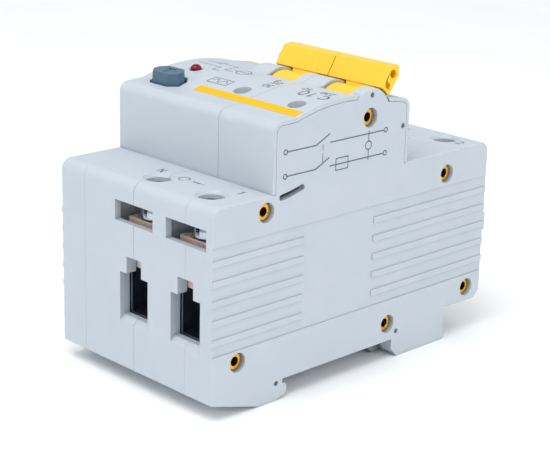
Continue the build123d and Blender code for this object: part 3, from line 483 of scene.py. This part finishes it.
def printed(name, bm, slot):
    """Finish a printed mesh as a piece on the housing."""
    bmesh.ops.recalc_face_normals(bm, faces=bm.faces)
    mesh = bpy.data.meshes.new(name)
    bm.to_mesh(mesh)
    bm.free()
    piece = bpy.data.objects.new(name, mesh)
    bpy.context.scene.collection.objects.link(piece)
    mesh.materials.append(MATERIALS[slot])
    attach(piece, "housing")


# ---------------------------------------------------------------- prints
def arc(centre, radius, start, end, count=14):
    """Points on a circle between two angles in degrees."""
    angles = [math.radians(start + (end - start) * i / count) for i in range(count + 1)]
    return [(centre[0] + radius * math.cos(a), centre[1] + radius * math.sin(a)) for a in angles]


ROUND = [k * math.pi / 8 for k in range(17)]
GLYPHS = {      # strokes in a cell that is one unit high
    "0": [[(0.3 + 0.3 * math.sin(a), 0.5 + 0.5 * math.cos(a)) for a in ROUND]],
    "1": [[(0.1, 0.75), (0.35, 1), (0.35, 0)]],
    "2": [[(0, 0.78), (0.12, 0.96), (0.3, 1), (0.5, 0.93), (0.58, 0.75), (0.5, 0.55), (0, 0), (0.6, 0)]],
    "3": [[
        (0, 0.9), (0.3, 1), (0.55, 0.85), (0.5, 0.6), (0.25, 0.53),
        (0.55, 0.42), (0.6, 0.2), (0.35, 0), (0, 0.1),
    ]],
    "5": [[
        (0.55, 1), (0.08, 1), (0.04, 0.55), (0.3, 0.62),
        (0.55, 0.5), (0.6, 0.25), (0.4, 0.02), (0, 0.08),
    ]],
    "N": [[(0, 0), (0, 1), (0.6, 0), (0.6, 1)]],
    "C": [arc((0.33, 0.5), 0.42, 50, 310)],
}


LETTER_PITCH = 0.85      # share of the height
UPRIGHT = ((1, 0), (0, 1))
TURNED = ((-1, 0), (0, -1))


def mark(bm, text, corner, size, directions):
    """A terminal number or rating on the front, from its lower left corner."""
    (height, width), (right, up) = size, directions
    for place, letter in enumerate(text):
        for line in GLYPHS[letter]:
            points = []
            for x, y in line:
                across, along = (x + LETTER_PITCH * place) * height, y * height
                points.append((
                    corner[0] + across * right[0] + along * up[0],
                    corner[1] + across * right[1] + along * up[1],
                ))
            stroke(bm, TOP, points, width)


# height and width of stroke of the figures
TERMINAL_SIZE, RATING_SIZE, SMALL_SIZE = (2.3, 0.32), (3.0, 0.42), (1.6, 0.24)
POLE_SIZE, TINY_SIZE = (1.8, 0.26), (1.4, 0.24)
TERMINAL_MARKS = (("N", (-4.6, -29.2)), ("1", (20.6, -27.6)), ("N", (4.6, 45.4)), ("2", (22.7, 45.4)))
RATINGS = (
    ("C", (24.4, -2.0), RATING_SIZE),
    ("10", (20.6, -2.0), RATING_SIZE),
    ("230", (23.6, 0.4), SMALL_SIZE),
    ("50", (16.6, 0.2), SMALL_SIZE),
    ("30", (7.6, -3.6), POLE_SIZE),
    ("25", (7.6, -0.6), POLE_SIZE),
    ("0", (5.2, 1.0), TINY_SIZE),
)
HAIR, THIN, LINE, RING, WIRE, BLADE, SHEATH = 0.2, 0.22, 0.24, 0.26, 0.3, 0.34, 0.5     # widths of stroke


def print_figures(bm):
    """The terminals' numbers and the ratings, which read from the far side."""
    for text, corner in TERMINAL_MARKS:
        mark(bm, text, corner, TERMINAL_SIZE, UPRIGHT)
    print_screw_symbols(bm)
    for text, corner, size in RATINGS:
        mark(bm, text, corner, size, TURNED)


def print_screw_symbols(bm):
    """A turning arrow and a stripped wire, between the terminals of each end."""
    for x, y in ((4.6, -28.6), (5.4, 40.2)):
        stroke(bm, TOP, arc((x, y), 1.3, 20, 300), RING)
        stroke(bm, TOP, [(x + 1.9, y + 0.1), (x + 1.22, y + 0.45), (x + 0.9, y - 0.3)], LINE)
        stroke(bm, TOP, [(x + 3.2, y), (x + 5.2, y)], SHEATH)
        stroke(bm, TOP, [(x + 5.2, y), (x + 7.0, y)], HAIR)


def print_current_symbol(bm):
    """The residual current symbol: a box with a wave, and the ring of the transformer."""
    stroke(bm, TOP, [(-9.0, -10.0), (-2.4, -10.0), (-2.4, -7.0), (-9.0, -7.0), (-9.0, -10.0)], LINE)
    stroke(bm, TOP, [(-8.2, -8.5), (-7.2, -7.5), (-5.8, -9.5), (-4.4, -7.5), (-3.2, -8.9)], LINE)
    stroke(bm, TOP, arc((-7.0, 0.2), 1.9, 0, 360, 24), RING)
    stroke(bm, TOP, [(-10.3, 0.2), (-3.4, 0.2)], THIN)


def print_test_circuit(bm):
    """The circuit of the test button."""
    stroke(bm, TOP, [(-23.5, 3.4), (-19.6, 3.4), (-17.4, 4.8)], THIN)
    stroke(bm, TOP, [(-17.2, 3.4), (-12.4, 3.4), (-12.4, -1.2), (-9.6, -1.2)], THIN)
    stroke(bm, TOP, [(-23.5, 0.2), (-15.0, 0.2), (-15.0, -2.8), (-12.6, -2.8)], THIN)
    stroke(bm, TOP, [(-18.6, 2.2), (-18.6, 5.4)], HAIR)


def print_pole(bm, z):
    """One pole of the wiring diagram: a terminal, a lead, an open contact, a lead and a terminal."""
    stroke(bm, RIGHT, arc((-18.6, z), 0.55, 0, 360, 12), RING)
    stroke(bm, RIGHT, [(-18.0, z), (-9.0, z)], WIRE)
    stroke(bm, RIGHT, [(-9.0, z), (-4.8, z + 2.0)], BLADE)
    stroke(bm, RIGHT, [(-4.4, z), (13.6, z)], WIRE)
    stroke(bm, RIGHT, arc((14.2, z), 0.55, 0, 360, 12), RING)


def print_releases(bm):
    """The diagram's release, its transformer ring with two leads, and the link between the contacts."""
    stroke(bm, RIGHT, [(-2.4, 47.2), (1.6, 47.2), (1.6, 50.0), (-2.4, 50.0), (-2.4, 47.2)], RING)
    stroke(bm, RIGHT, arc((8.4, 51.4), 1.0, 0, 360, 20), RING)
    stroke(bm, RIGHT, [(8.4, 54.9), (8.4, 52.4)], RING)
    stroke(bm, RIGHT, [(8.4, 50.4), (8.4, 47.9)], RING)
    stroke(bm, RIGHT, [(-6.8, 49.8), (-6.8, 52.0)], HAIR)
    stroke(bm, RIGHT, [(-6.8, 52.7), (-6.8, 54.0)], HAIR)


def make_prints():
    bm = bmesh.new()
    print_figures(bm)
    print_current_symbol(bm)
    print_test_circuit(bm)
    printed("front_prints", bm, "ink")

    bm = bmesh.new()
    for z in (54.2, 48.6):
        print_pole(bm, z)
    print_releases(bm)
    printed("side_prints", bm, "ink")


STRIPE_X, STRIPE_Y = (-8.3, 26.1), (-15.1, -12.45)
PATCH_X, PATCH_Y = (-26.2, -20.5), (18.6, 21.6)
BAND_SPACING = 0.6


def make_bands():
    """The amber stripe across both poles and the small amber field at the back of the cap."""
    bm = bmesh.new()
    for x, y in ((STRIPE_X, STRIPE_Y), (PATCH_X, PATCH_Y)):
        across = [point[0] for point in steps((x[0], 0), (x[1], 0), BAND_SPACING)]
        along = [point[1] for point in steps((0, y[0]), (0, y[1]), BAND_SPACING)]
        drape(bm, TOP, [[(a, b) for a in across] for b in along])
    printed("amber_bands", bm, "amber_ink")


# width of the rounded edges in mm, and their facets
ROUNDINGS = {
    "handle_n": (0.22, 3),
    "handle_l": (0.22, 3),
    "test_button": (0.18, 3),
    "tube_rivets": (0.2, 3),
}
SMALL_ROUNDING = 0.14
SMALL_PARTS = ("screw_", "clamp_", "bar_", "rail_clip_")


make_camera()
make_studio()
for node in SLOT_OF:
    paint(node)
for node, rounding in ROUNDINGS.items():
    rounded(node, *rounding)
for node in SLOT_OF:
    if node.startswith(SMALL_PARTS):
        rounded(node, SMALL_ROUNDING)
make_test_spring()
make_prints()
make_bands()
